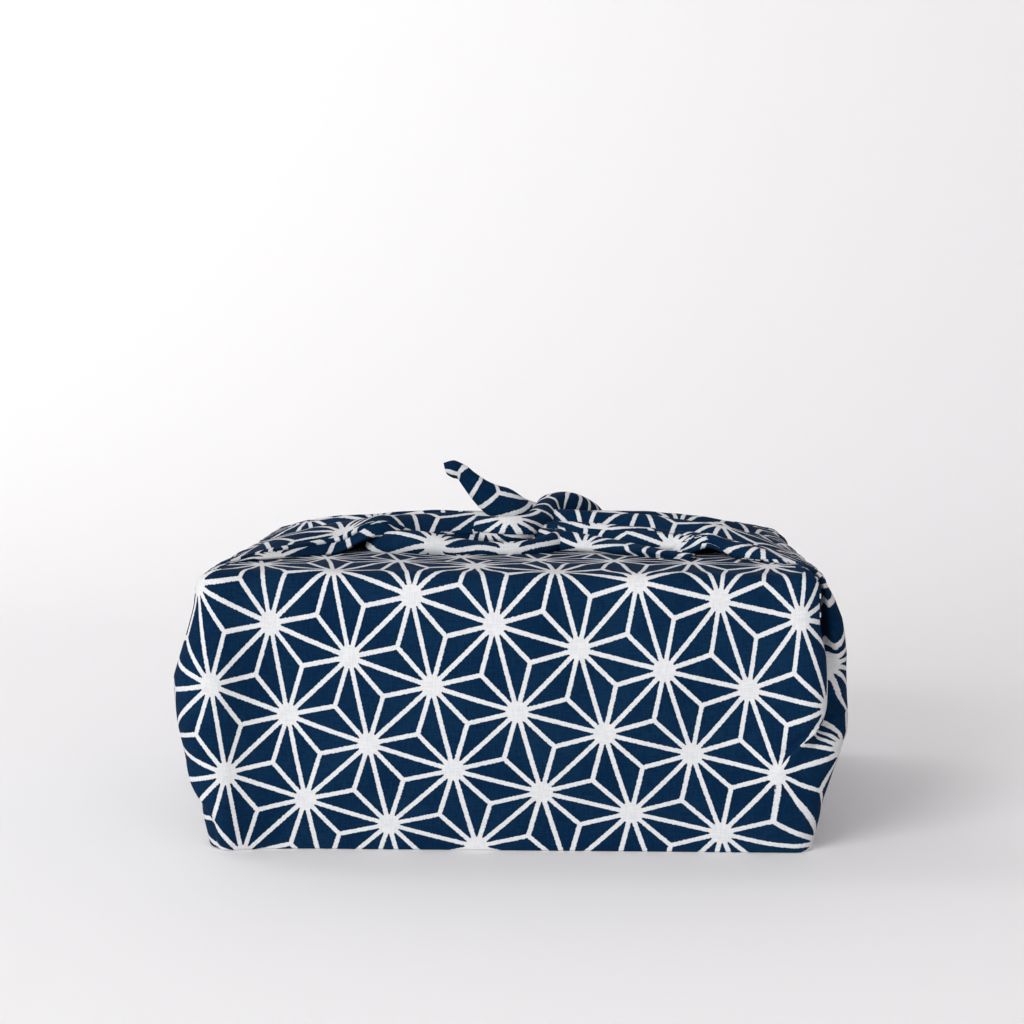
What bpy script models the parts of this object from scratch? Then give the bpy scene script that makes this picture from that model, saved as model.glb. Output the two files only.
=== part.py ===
"""Furoshiki wrap: one square of printed cotton folded round a box and tied on top in a square knot.

The cloth is one piece, so it is one solid. Metres, +Z up. The front panel faces -Y, the origin is
the middle of the base on the surface that the bundle stands on. A panel runs up the front and over
the top. A flap runs up each side, over its top edge and gathers as a fan to the knot.
"""

import math

import bmesh
import bpy
from mathutils import Vector

# The bundle's main sizes, between its flat panels.
WIDTH = 0.190
DEPTH = 0.165
HEIGHT = 0.087
TOP_EDGE_RADIUS = 0.0050
CORNER_RADIUS = 0.0065
BASE_INSET = 0.0030
BASE_EDGE = 0.0015
PANEL_CROWN = 0.0012

# Each upright corner has a pleat. The panel ends there in a rounded ear, then comes the pleat's
# valley, then the crest of the side flap. Apex is the share of the height where the pleat opens,
# and start is where, as a distance along the wall from the middle of the rounded corner.
CORNERS = (
    # side, end, ear, flap, apex, start
    {"side": -1, "end": -1, "ear": 0.0096, "flap": 0.0082, "apex": 0.16, "start": -0.004},
    {"side": 1, "end": -1, "ear": 0.0030, "flap": 0.0102, "apex": 0.24, "start": -0.0127},
    {"side": 1, "end": 1, "ear": 0.0078, "flap": 0.0090, "apex": 0.18, "start": -0.006},
    {"side": -1, "end": 1, "ear": 0.0052, "flap": 0.0098, "apex": 0.20, "start": -0.009},
)
PLEAT_OPENS_OVER = 0.26
EAR_CREST = 0.0045
VALLEY_WIDTH = 0.0050
FLAP_CREST = 0.0120
VALLEY_FLOOR = 0.0004
SIDE_MIDDLE = 0.0030
COLUMNS = (4, 5, 5, 6, 5)
# How far each stands out up the wall, as shares of the height and of its greatest size.
EAR_RISE = (
    (0.00, 0.00), (0.14, 0.10), (0.35, 0.66), (0.49, 0.92),
    (0.62, 1.00), (0.76, 0.74), (0.90, 0.26), (1.00, 0.00),
)
FLAP_RISE = (
    (0.00, 0.00), (0.19, 0.14), (0.39, 0.64), (0.55, 0.93),
    (0.68, 1.00), (0.82, 0.92), (0.92, 0.66), (1.00, 0.10),
)

# Where the fans of the tails lie: half the width of the flap at the side's top edge, and the
# stations of a fan from the wall, over the edge, to the knot.
FAN_STATIONS = (
    # out is the distance from the middle of the bundle, up is above the top
    {"out": 0.0965, "up": -0.0170, "half": 0.0640, "thick": 0.0030},
    {"out": 0.0967, "up": -0.0080, "half": 0.0625, "thick": 0.0036},
    {"out": 0.0935, "up": 0.0000, "half": 0.0600, "thick": 0.0046},
    {"out": 0.0840, "up": 0.0032, "half": 0.0560, "thick": 0.0062},
    {"out": 0.0680, "up": 0.0034, "half": 0.0465, "thick": 0.0088},
    {"out": 0.0500, "up": 0.0038, "half": 0.0345, "thick": 0.0104},
    {"out": 0.0330, "up": 0.0044, "half": 0.0230, "thick": 0.0118},
    {"out": 0.0180, "up": 0.0050, "half": 0.0135, "thick": 0.0122},
    {"out": 0.0080, "up": 0.0056, "half": 0.0090, "thick": 0.0110},
)
# The rolls that the gathered cloth makes across each fan, front to back.
FAN_ROLLS = {
    -1: (
        {"across": -0.80, "spread": 0.16, "rise": 0.55},
        {"across": -0.20, "spread": 0.34, "rise": 1.00},
        {"across": 0.36, "spread": 0.16, "rise": 0.62},
        {"across": 0.76, "spread": 0.18, "rise": 0.66},
    ),
    1: (
        {"across": -0.74, "spread": 0.20, "rise": 0.66},
        {"across": -0.14, "spread": 0.30, "rise": 1.00},
        {"across": 0.40, "spread": 0.17, "rise": 0.70},
        {"across": 0.80, "spread": 0.16, "rise": 0.62},
    ),
}
FAN_VALLEY = 0.36

# The two tails in the square knot, from the middle of the bundle's top, in millimetres.
# Wide is half the strand across, deep is half its thickness, turn is its roll in degrees.
LEFT_TAIL = (
    {"at": (-30.0, -1.0, 4.0), "wide": 6.0, "deep": 2.4, "turn": 0},
    {"at": (-19.0, -4.5, 5.2), "wide": 8.2, "deep": 4.8, "turn": -10},
    {"at": (-8.0, -9.0, 4.4), "wide": 6.4, "deep": 4.3, "turn": -25},
    {"at": (3.0, -9.2, 4.4), "wide": 6.0, "deep": 4.3, "turn": -35},
    {"at": (10.0, -3.5, 6.4), "wide": 6.4, "deep": 4.8, "turn": -50},
    {"at": (10.2, 4.0, 10.4), "wide": 6.4, "deep": 5.0, "turn": -70},
    {"at": (4.5, 4.6, 14.2), "wide": 6.0, "deep": 4.8, "turn": -80},
    {"at": (-0.5, 0.0, 16.0), "wide": 6.2, "deep": 4.4, "turn": -82},
    {"at": (-6.5, -3.2, 18.8), "wide": 7.6, "deep": 4.0, "turn": -84},
    {"at": (-13.5, -4.6, 23.0), "wide": 6.6, "deep": 3.3, "turn": -86},
    {"at": (-20.0, -5.4, 27.6), "wide": 3.4, "deep": 2.3, "turn": -88},
    {"at": (-24.0, -5.8, 30.6), "wide": 2.0, "deep": 1.7, "turn": -88},
    {"at": (-25.6, -6.0, 31.8), "wide": 1.5, "deep": 1.2, "turn": -88},
)
RIGHT_TAIL = (
    {"at": (30.0, 1.0, 4.0), "wide": 6.0, "deep": 2.4, "turn": 0},
    {"at": (19.0, 4.5, 5.4), "wide": 8.2, "deep": 5.0, "turn": -10},
    {"at": (7.5, 8.0, 5.2), "wide": 6.6, "deep": 4.8, "turn": -25},
    {"at": (-4.0, 8.0, 6.0), "wide": 6.4, "deep": 4.8, "turn": -40},
    {"at": (-11.0, 3.4, 8.0), "wide": 6.4, "deep": 5.0, "turn": -60},
    {"at": (-11.5, -4.4, 9.8), "wide": 6.4, "deep": 5.0, "turn": -75},
    {"at": (-6.0, -9.6, 11.0), "wide": 7.2, "deep": 4.8, "turn": -88},
    {"at": (1.5, -7.4, 12.6), "wide": 7.0, "deep": 4.8, "turn": -80},
    {"at": (7.0, 0.0, 14.4), "wide": 6.4, "deep": 4.8, "turn": -55},
    {"at": (12.5, 8.4, 15.0), "wide": 7.6, "deep": 4.6, "turn": -25},
    {"at": (18.5, 16.4, 13.4), "wide": 8.6, "deep": 4.4, "turn": -8},
    {"at": (25.0, 24.0, 10.2), "wide": 6.6, "deep": 3.4, "turn": 0},
    {"at": (30.5, 30.0, 8.2), "wide": 3.4, "deep": 2.4, "turn": 0},
    {"at": (33.5, 33.4, 7.4), "wide": 1.6, "deep": 1.4, "turn": 0},
)
KNOT_SHIFT = Vector((-0.003, -0.002, 0.0))
MILLIMETRE = 0.001

# The front panel ends on top as a flap that tapers to a turned-under tip near the back edge.
FLAP_FULL_TO = 0.006
FLAP_TIP_BACK = 0.0740
FLAP_TIP_HALF = 0.0250
FLAP_THICK = 0.0012


def smooth(value):
    """0 below 0, 1 above 1, and an even ease between."""
    value = min(1.0, max(0.0, value))
    return value * value * (3 - 2 * value)


def mix(low, high, share):
    return low + (high - low) * share


def eased(points, place):
    """The value at a place of an outline given as (place, value) points, eased between them."""
    for (start, low), (end, high) in zip(points, points[1:]):
        if place <= end:
            return mix(low, high, smooth((place - start) / (end - start)))
    return points[-1][1]


def straight(points, place):
    """The same with straight lines between the points."""
    for (start, low), (end, high) in zip(points, points[1:]):
        if place <= end:
            return mix(low, high, (place - start) / (end - start))
    return points[-1][1]


def base_point(along, half_x, half_y, radius):
    """A point on a rounded rectangle's quarter and its outward normal, both from the corner's side.

    along is the distance from the middle of the rounded corner, negative on the front or back.
    The point is (out, inward): out from the middle of the bundle, inward from the end panel.
    """
    arc = radius * math.pi / 2
    if along < -arc / 2:
        return (half_x - radius + along + arc / 2, 0.0), (0.0, -1.0)
    if along > arc / 2:
        return (half_x, radius + along - arc / 2), (1.0, 0.0)
    angle = (along + arc / 2) / radius
    point = (half_x - radius + radius * math.sin(angle), radius - radius * math.cos(angle))
    return point, (math.sin(angle), -math.cos(angle))


def corner_keys(corner, share, front_end, side_end):
    """The wall's highs and lows beside one corner at a share of the height: (along, outward)."""
    opened = smooth((share - corner["apex"]) / PLEAT_OPENS_OVER)
    ear = corner["ear"] * straight(EAR_RISE, share)
    flap = corner["flap"] * straight(FLAP_RISE, share)
    crest = mix(corner["start"], EAR_CREST, opened)
    slant = mix(0.0, 0.011, share)
    valley = crest + mix(0.0075, VALLEY_WIDTH, opened)
    floor = mix(mix(ear, flap, 0.55), VALLEY_FLOOR, opened)
    flap_at = valley + FLAP_CREST * mix(0.55, 1.0, opened) + slant * 0.4
    return (
        (front_end, PANEL_CROWN * math.sin(math.pi * share)),
        (min(crest - 0.020, -0.016), 0.0),
        (crest, ear),
        (valley, floor),
        (flap_at, flap),
        (side_end, SIDE_MIDDLE * math.sin(math.pi * share)),
    )


def wall_ring(share, grow=0.0):
    """The points round the wall at a share of the height, moved outwards by grow.

    The columns keep to the folds: as many of them lie between one key and the next all the way up.
    """
    inset = 1 - smooth(share / 0.30)
    half_x = WIDTH / 2 - BASE_INSET * inset
    half_y = DEPTH / 2 - BASE_INSET * 0.4 * inset
    arc = CORNER_RADIUS * math.pi / 4
    front_end = CORNER_RADIUS - half_x - arc
    side_end = half_y - CORNER_RADIUS + arc
    ring = []
    for number, corner in enumerate(CORNERS):
        keys = corner_keys(corner, share, front_end, side_end)
        places = []
        for (start, _), (stop, _), columns in zip(keys, keys[1:], COLUMNS):
            places += [mix(start, stop, step / columns) for step in range(columns)]
        quarter = []
        for along in places + [side_end]:
            (out, inward), normal = base_point(along, half_x, half_y, CORNER_RADIUS)
            push = eased(keys, along) + grow
            x = corner["side"] * (out + normal[0] * push)
            y = corner["end"] * (half_y - inward - normal[1] * push)
            quarter.append((x, y))
        # Quarters run from front to side and from side to back in turn, sharing their ends.
        from_side = number % 2 == 0
        quarter = quarter[::-1] if from_side else quarter
        ring += quarter[:-1]
    return ring


def mesh_object(name, verts, faces):
    """A mesh object with its normals outwards."""
    mesh = bpy.data.meshes.new(name)
    mesh.from_pydata(verts, [], faces)
    shape = bmesh.new()
    shape.from_mesh(mesh)
    bmesh.ops.remove_doubles(shape, verts=shape.verts, dist=1e-6)
    bmesh.ops.recalc_face_normals(shape, faces=shape.faces)
    if shape.calc_volume(signed=True) < 0:
        bmesh.ops.reverse_faces(shape, faces=shape.faces)
    shape.to_mesh(mesh)
    shape.free()
    obj = bpy.data.objects.new(name, mesh)
    bpy.context.scene.collection.objects.link(obj)
    return obj


def lofted(name, rings, cap=True):
    """A closed shape through rings of equal count, with its two ends filled."""
    count = len(rings[0])
    verts = [point for ring in rings for point in ring]
    faces = []
    for row in range(len(rings) - 1):
        for column in range(count):
            beside = (column + 1) % count
            low, high = row * count, (row + 1) * count
            faces.append((low + column, low + beside, high + beside, high + column))
    if cap:
        faces.append(tuple(range(count))[::-1])
        faces.append(tuple((len(rings) - 1) * count + column for column in range(count)))
    return mesh_object(name, verts, faces)


def make_bundle():
    """The wall with its four pleats, its rounded top edge and its flat base, as one filled body."""
    rings = [[(x, y, 0.0) for x, y in wall_ring(0.0, -BASE_EDGE)]]
    rows = 18
    wall_top = HEIGHT - TOP_EDGE_RADIUS
    for row in range(rows + 1):
        height = mix(BASE_EDGE, wall_top, row / rows)
        rings.append([(x, y, height) for x, y in wall_ring(height / HEIGHT)])
    for turn in (30, 60, 90):
        angle = math.radians(turn)
        height = wall_top + TOP_EDGE_RADIUS * math.sin(angle)
        inward = -TOP_EDGE_RADIUS * (1 - math.cos(angle))
        rings.append([(x, y, height) for x, y in wall_ring(min(height / HEIGHT, 1.0), inward)])
    return lofted("furoshiki_cloth", rings)


def make_top_flap():
    """The front panel's end, lying on top and tapering to its turned-under tip at the back."""
    half = WIDTH / 2 - 0.012
    front = -DEPTH / 2 + 0.012
    outline = (
        (-half, front), (half, front), (half, FLAP_FULL_TO),
        (FLAP_TIP_HALF, FLAP_TIP_BACK), (-FLAP_TIP_HALF, FLAP_TIP_BACK), (-half, FLAP_FULL_TO),
    )
    rings = []
    for height in (HEIGHT - 0.003, HEIGHT + FLAP_THICK):
        rings.append([(x, y, height) for x, y in outline])
    return lofted("top_flap", rings)


def between(rows, place):
    """A smooth curve through rows of numbers, read at a place from 0 to len(rows) - 1."""
    number = min(int(place), len(rows) - 2)
    share = place - number
    before = rows[max(number - 1, 0)]
    start, end = rows[number], rows[number + 1]
    after = rows[min(number + 2, len(rows) - 1)]
    values = []
    for a, b, c, d in zip(before, start, end, after):
        values.append(
            b + 0.5 * share * (c - a + share * (2 * a - 5 * b + 4 * c - d + share * (3 * (b - c) + d - a)))
        )
    return values


def roll_height(rolls, across):
    """The relief of the gathered rolls, from the valley's share of the fan's thickness to 1."""
    relief = 0.0
    for roll in rolls:
        relief = max(relief, roll["rise"] * math.exp(-(((across - roll["across"]) / roll["spread"]) ** 2)))
    edge = math.sqrt(max(0.0, 1 - across**6))
    return mix(FAN_VALLEY, 1.0, relief) * edge


def make_fan(side):
    """A tail's gathered fan, from the side flap over the top edge to the knot."""
    rows = [[s["out"], s["up"], s["half"], s["thick"]] for s in FAN_STATIONS]
    steps, across_count, under_count = 16, 34, 8
    rings = []
    for step in range(steps + 1):
        place = (len(rows) - 1) * step / steps
        out, up, half, thick = between(rows, place)
        ahead = between(rows, min(place + 0.1, len(rows) - 1))
        behind = between(rows, max(place - 0.1, 0))
        run, lift = behind[0] - ahead[0], ahead[1] - behind[1]
        length = math.hypot(run, lift)
        normal_out, normal_up = lift / length, run / length
        ring = []
        for number in range(across_count + 1):
            across = -math.cos(math.pi * number / across_count)
            rise = thick * roll_height(FAN_ROLLS[side], across) - 0.3 * thick
            ring.append((across * half, rise))
        for number in range(1, under_count):
            across = mix(1.0, -1.0, number / under_count)
            ring.append((across * half * 0.97, -0.55 * thick - 0.0015))
        middle = KNOT_SHIFT * smooth(step / steps)
        points = []
        for y, rise in ring:
            x = side * (out + normal_out * rise) + middle.x
            points.append((x, y + middle.y, HEIGHT + up + normal_up * rise))
        rings.append(points)
    name = "fan_left" if side < 0 else "fan_right"
    return lofted(name, rings)


def make_tail(name, table):
    """One tail through the knot to its tip, a flattened strand with shallow pleats."""
    rows = [list(row["at"]) + [row["wide"], row["deep"], row["turn"]] for row in table]
    per_row, around = 3, 16
    places = [step / per_row for step in range((len(rows) - 1) * per_row + 1)]
    rings = []
    for place in places:
        x, y, z, wide, deep, turn = between(rows, place)
        ahead = Vector(between(rows, min(place + 0.2, len(rows) - 1))[:3])
        behind = Vector(between(rows, max(place - 0.2, 0))[:3])
        tangent = (ahead - behind).normalized()
        level = Vector((0, 0, 1)).cross(tangent).normalized()
        upright = tangent.cross(level)
        angle = math.radians(turn)
        across = level * math.cos(angle) + upright * math.sin(angle)
        through = tangent.cross(across)
        centre = Vector((x, y, z))
        ring = []
        for number in range(around):
            turned = 2 * math.pi * number / around
            pleat = 1 + 0.07 * math.cos(4 * turned + 0.6)
            offset = across * (wide * math.cos(turned)) + through * (deep * math.sin(turned))
            point = (centre + offset * pleat) * MILLIMETRE + KNOT_SHIFT
            ring.append((point.x, point.y, point.z + HEIGHT))
        rings.append(ring)
    return lofted(name, rings)


def cloth_material():
    """Printed navy cotton."""
    material = bpy.data.materials.new("navy_cotton")
    material.use_nodes = True
    surface = material.node_tree.nodes["Principled BSDF"]
    surface.inputs["Base Color"].default_value = (0.0137, 0.0452, 0.1130, 1.0)
    surface.inputs["Roughness"].default_value = 0.85
    surface.inputs["Metallic"].default_value = 0.0
    return material


def joined(base, others):
    """The base with each other shape fused into it, as the one cloth that they are."""
    for other in others:
        other.hide_render = True
        other.display_type = "WIRE"
        union = base.modifiers.new("join_" + other.name, "BOOLEAN")
        union.operation = "UNION"
        union.solver = "EXACT"
        union.use_self = True
        union.object = other
    return base


def centred(objects):
    """Moves every shape so that the middle of the bundle's width and depth is the origin."""
    graph = bpy.context.evaluated_depsgraph_get()
    cloth = objects[0].evaluated_get(graph)
    corners = [Vector(corner) for corner in cloth.bound_box]
    middle_x = (min(c.x for c in corners) + max(c.x for c in corners)) / 2
    middle_y = (min(c.y for c in corners) + max(c.y for c in corners)) / 2
    for obj in objects:
        obj.location = (-middle_x, -middle_y, 0.0)


def main():
    for obj in list(bpy.data.objects):
        bpy.data.objects.remove(obj)
    cloth = make_bundle()
    pieces = [make_top_flap(), make_fan(-1), make_fan(1)]
    pieces += [make_tail("tail_left", LEFT_TAIL), make_tail("tail_right", RIGHT_TAIL)]
    joined(cloth, pieces)
    cloth.data.materials.append(cloth_material())
    cloth.data.shade_smooth()
    centred([cloth] + pieces)


main()
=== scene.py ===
import math

import bmesh
import bpy
import numpy as np
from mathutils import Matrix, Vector, noise


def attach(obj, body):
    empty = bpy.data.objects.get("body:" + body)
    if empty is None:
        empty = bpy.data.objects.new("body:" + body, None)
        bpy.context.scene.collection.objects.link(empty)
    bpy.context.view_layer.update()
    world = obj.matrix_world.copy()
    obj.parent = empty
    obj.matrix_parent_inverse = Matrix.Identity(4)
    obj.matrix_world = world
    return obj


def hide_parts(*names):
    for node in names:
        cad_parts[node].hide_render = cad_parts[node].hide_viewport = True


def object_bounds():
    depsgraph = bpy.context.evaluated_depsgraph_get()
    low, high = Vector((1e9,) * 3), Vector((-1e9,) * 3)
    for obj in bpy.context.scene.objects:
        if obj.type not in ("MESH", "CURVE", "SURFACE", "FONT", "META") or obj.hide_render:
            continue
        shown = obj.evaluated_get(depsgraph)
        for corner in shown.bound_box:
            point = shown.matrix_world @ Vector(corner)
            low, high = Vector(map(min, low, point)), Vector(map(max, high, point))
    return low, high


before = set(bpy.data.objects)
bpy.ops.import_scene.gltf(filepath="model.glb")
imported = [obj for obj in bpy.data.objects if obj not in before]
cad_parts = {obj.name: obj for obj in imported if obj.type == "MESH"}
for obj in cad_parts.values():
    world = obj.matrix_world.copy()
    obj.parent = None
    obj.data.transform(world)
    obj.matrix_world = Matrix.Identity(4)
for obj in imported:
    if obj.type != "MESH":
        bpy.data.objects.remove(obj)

cad_low, cad_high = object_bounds()


# The viewpoint. The bundle is seen from just above its top and almost square on, as it stands on
# a table with the lens about 65 cm away. The depth edges run 2 degrees to the right of the view.

WIDTH = 0.190
DEPTH = 0.165
HEIGHT = 0.087
IMAGE = 1024
LENS = 73.5
SENSOR = 36.0
VIEW_DISTANCE = 0.645
VIEW_TILT = math.radians(4.65)
VIEW_TURN = math.radians(2.0)
# Where the middle of the front panel falls in the image, in pixels.
PANEL_MIDDLE = (511.5, 713.0)

forward = Vector((
    -math.sin(VIEW_TURN) * math.cos(VIEW_TILT),
    math.cos(VIEW_TURN) * math.cos(VIEW_TILT),
    -math.sin(VIEW_TILT),
))
level_right = forward.cross(Vector((0, 0, 1))).normalized()
image_up = level_right.cross(forward)
focal = LENS / SENSOR * IMAGE
sight = forward
sight = sight + level_right * ((PANEL_MIDDLE[0] - IMAGE / 2) / focal)
sight = sight + image_up * ((IMAGE / 2 - PANEL_MIDDLE[1]) / focal)
camera = bpy.data.objects.new("camera", bpy.data.cameras.new("camera"))
camera.data.lens = LENS
camera.data.sensor_width = SENSOR
camera.location = Vector((0, -DEPTH / 2, HEIGHT / 2)) - sight * VIEW_DISTANCE
camera.rotation_mode = "QUATERNION"
camera.rotation_quaternion = forward.to_track_quat("-Z", "Y")
bpy.context.scene.collection.objects.link(camera)
bpy.context.scene.camera = camera
bpy.context.scene.view_settings.view_transform = "Standard"


# The surroundings. A white paper sweep in a bright room, with a window at the front left, a softer
# fill from the front and a lamp on the backdrop. The shadow falls softly to the right.

SWEEP_HALF_WIDTH = 4.5
SWEEP_FRONT = -2.2
SWEEP_BACK = 1.30
SWEEP_BEND = 0.9
SWEEP_TOP = 3.0
SWEEP_STEPS = 24


def new_object(name, verts, faces):
    mesh = bpy.data.meshes.new(name)
    mesh.from_pydata(verts, [], faces)
    obj = bpy.data.objects.new(name, mesh)
    bpy.context.scene.collection.objects.link(obj)
    return obj


profile = [(SWEEP_FRONT, 0.0), (SWEEP_BACK - SWEEP_BEND, 0.0)]
for step in range(1, SWEEP_STEPS + 1):
    angle = math.pi / 2 * step / SWEEP_STEPS
    y = SWEEP_BACK - SWEEP_BEND + SWEEP_BEND * math.sin(angle)
    profile.append((y, SWEEP_BEND - SWEEP_BEND * math.cos(angle)))
profile.append((SWEEP_BACK, SWEEP_TOP))
sweep_verts = [(x, y, z) for x in (-SWEEP_HALF_WIDTH, SWEEP_HALF_WIDTH) for y, z in profile]
row = len(profile)
sweep_faces = [(n, row + n, row + n + 1, n + 1) for n in range(row - 1)]
sweep = new_object("sweep", sweep_verts, sweep_faces)
sweep.data.shade_smooth()
paper = bpy.data.materials.new("white_paper")
paper.use_nodes = True
paper_surface = paper.node_tree.nodes["Principled BSDF"]
paper_surface.inputs["Base Color"].default_value = (0.875, 0.866, 0.873, 1.0)
paper_surface.inputs["Roughness"].default_value = 0.75
paper_surface.inputs["Specular IOR Level"].default_value = 0.25
sweep.data.materials.append(paper)

world = bpy.data.worlds.new("bright_room")
world.use_nodes = True
world.node_tree.nodes["Background"].inputs["Color"].default_value = (1.0, 0.945, 0.970, 1.0)
world.node_tree.nodes["Background"].inputs["Strength"].default_value = 0.40
bpy.context.scene.world = world

LIGHTS = (
    {"name": "window", "at": (-1.25, -1.80, 0.72), "to": (0.0, 0.0, 0.05), "size": 1.2, "watts": 43.0},
    {"name": "front_fill", "at": (0.50, -2.10, 0.95), "to": (0.0, 0.0, 0.05), "size": 2.0, "watts": 15.0},
    {"name": "backdrop_light", "at": (-1.3, 0.65, 1.7), "to": (-1.0, 1.3, 0.9), "size": 0.9, "watts": 11.0},
)
LAMP_COLOUR = (0.975, 1.0, 0.99)
for light in LIGHTS:
    lamp = bpy.data.lights.new(light["name"], "AREA")
    lamp.shape = "SQUARE"
    lamp.size = light["size"]
    lamp.energy = light["watts"]
    lamp.color = LAMP_COLOUR
    holder = bpy.data.objects.new(light["name"], lamp)
    holder.location = light["at"]
    aim = Vector(light["to"]) - Vector(light["at"])
    holder.rotation_mode = "QUATERNION"
    holder.rotation_quaternion = aim.to_track_quat("-Z", "Y")
    bpy.context.scene.collection.objects.link(holder)


# The cloth's walls. One 0.50 m square of cotton lies cornerwise under the box. Its front and back
# panels run up and over the top. At each upright corner the spare cloth folds into a pleat, behind
# a rounded ear, and the side flap comes out from it.

CLOTH_THICK = 0.0005
TOP_EDGE_RADIUS = 0.0050
CORNER_RADIUS = 0.0065
BASE_INSET = 0.0014
BASE_EDGE = 0.0007
PANEL_CROWN = 0.0012
SIDE_MIDDLE = 0.0030
# How much of its depth an ear or a flap has on the way up: the heights, as shares of the wall, and
# the amount at each.
SOFT_RISE = ((0.0, 0.19, 0.39, 0.55, 0.68, 0.82, 0.92, 1.0), (0.0, 0.20, 0.68, 0.95, 1.0, 0.92, 0.60, 0.08))
BACK_RISE = ((0.0, 0.19, 0.39, 0.55, 0.68, 0.82, 0.92, 1.0), (0.0, 0.20, 0.68, 0.95, 1.0, 0.78, 0.32, 0.0))
KINKED_RISE = ((0.0, 0.19, 0.30, 0.36, 0.42, 0.50, 0.68, 0.82, 0.90, 1.0),
               (0.0, 0.20, 0.46, 0.64, 0.93, 1.0, 0.95, 0.74, 0.52, 0.10))
EAR_RISE = ((0.0, 0.06, 0.15, 0.23, 0.32, 0.37, 0.45, 0.53, 0.62, 0.70, 0.78, 0.87, 0.95, 1.0),
            (0.30, 0.43, 0.60, 0.62, 0.68, 0.77, 0.91, 0.97, 1.0, 0.80, 0.60, 0.40, 0.34, 0.24))
FOLD_RISE = ((0.0, 0.15, 0.30, 0.45, 0.60, 0.70, 0.80, 1.0), (0.05, 0.30, 0.55, 0.88, 1.0, 0.80, 0.12, 0.0))
# The cloth that a fold takes up, by height in metres.
NOTHING_TAKEN = ((0.0,), (0.0,))
CORNERS = {
    # ear and flap are how far each stands out, and ear_rise and rise how much of that they have on
    # the way up. The pleat begins at the apex, a share of the height, at the distance start from the
    # corner. It is open a share of opens higher, with its lip at the distance crest and its floor at
    # the level valley. hollow is how far the flap's edge hangs over it, wedge how far the print turns
    # round the apex, in degrees, and taken the cloth in the fold.
    "left_front": {
        "side": -1, "end": -1, "ear": 0.0108, "ear_rise": EAR_RISE, "flap": 0.0086, "rise": SOFT_RISE,
        "apex": 0.10, "start": -0.003, "opens": 0.22, "crest": 0.0045, "valley": -0.0020,
        "hollow": 0.6, "wedge": 6, "taken": NOTHING_TAKEN,
    },
    "right_front": {
        "side": 1, "end": -1, "ear": 0.0030, "ear_rise": FOLD_RISE, "flap": 0.0104, "rise": KINKED_RISE,
        "apex": 0.27, "start": -0.0143, "opens": 0.27, "crest": 0.0028, "valley": -0.0046,
        "hollow": 1.0, "wedge": 24, "taken": ((0.030, 0.056), (0.0108, 0.0072)),
    },
    "right_back": {
        "side": 1, "end": 1, "ear": 0.0078, "ear_rise": EAR_RISE, "flap": 0.0090, "rise": BACK_RISE,
        "apex": 0.16, "start": -0.006, "opens": 0.24, "crest": 0.0045, "valley": -0.0030,
        "hollow": 0.6, "wedge": 12, "taken": NOTHING_TAKEN,
    },
    "left_back": {
        "side": -1, "end": 1, "ear": 0.0052, "ear_rise": EAR_RISE, "flap": 0.0098, "rise": BACK_RISE,
        "apex": 0.20, "start": -0.009, "opens": 0.26, "crest": 0.0040, "valley": -0.0030,
        "hollow": 0.8, "wedge": 18, "taken": NOTHING_TAKEN,
    },
}
# How many columns of the mesh lie between one key of a wall's outline and the next.
SPANS = (9, 8, 7, 5, 4, 2, 3, 3, 4, 4, 5, 7, 9, 9)
TIP = sum(SPANS[:5])
FLAP_START = sum(SPANS[:9])
LIP = sum(SPANS[:6])
# The columns of a side flap's front half.
FRONT_COLUMNS = sum(SPANS) + 1 - TIP
WALL_ROWS = 46


def smooth(share):
    share = np.clip(share, 0.0, 1.0)
    return share * share * (3 - 2 * share)


def mix(low, high, share):
    return low + (high - low) * share


def curve_through(points, spans):
    """A centripetal Catmull-Rom curve through points, with a count of steps for each span."""
    points = np.asarray(points, float)
    ends = np.vstack([2 * points[0] - points[1], points, 2 * points[-1] - points[-2]])
    made = []
    for number, count in enumerate(spans):
        a, b, c, d = ends[number:number + 4]
        gaps = [max(np.linalg.norm(q - p), 1e-7) ** 0.5 for p, q in ((a, b), (b, c), (c, d))]
        t0, t1 = 0.0, gaps[0]
        t2 = t1 + gaps[1]
        t3 = t2 + gaps[2]
        t = np.linspace(t1, t2, count, endpoint=False)[:, None]
        ab = a * (t1 - t) / (t1 - t0) + b * (t - t0) / (t1 - t0)
        bc = b * (t2 - t) / (t2 - t1) + c * (t - t1) / (t2 - t1)
        cd = c * (t3 - t) / (t3 - t2) + d * (t - t2) / (t3 - t2)
        abc = ab * (t2 - t) / (t2 - t0) + bc * (t - t0) / (t2 - t0)
        bcd = bc * (t3 - t) / (t3 - t1) + cd * (t - t1) / (t3 - t1)
        made.append(abc * (t2 - t) / (t2 - t1) + bcd * (t - t1) / (t2 - t1))
    made.append(points[-1:])
    return np.vstack(made)


def distance_along(points):
    """How far along a line of points each of them lies."""
    steps = np.linalg.norm(np.diff(points, axis=0), axis=1)
    return np.concatenate([[0.0], np.cumsum(steps)])


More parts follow.
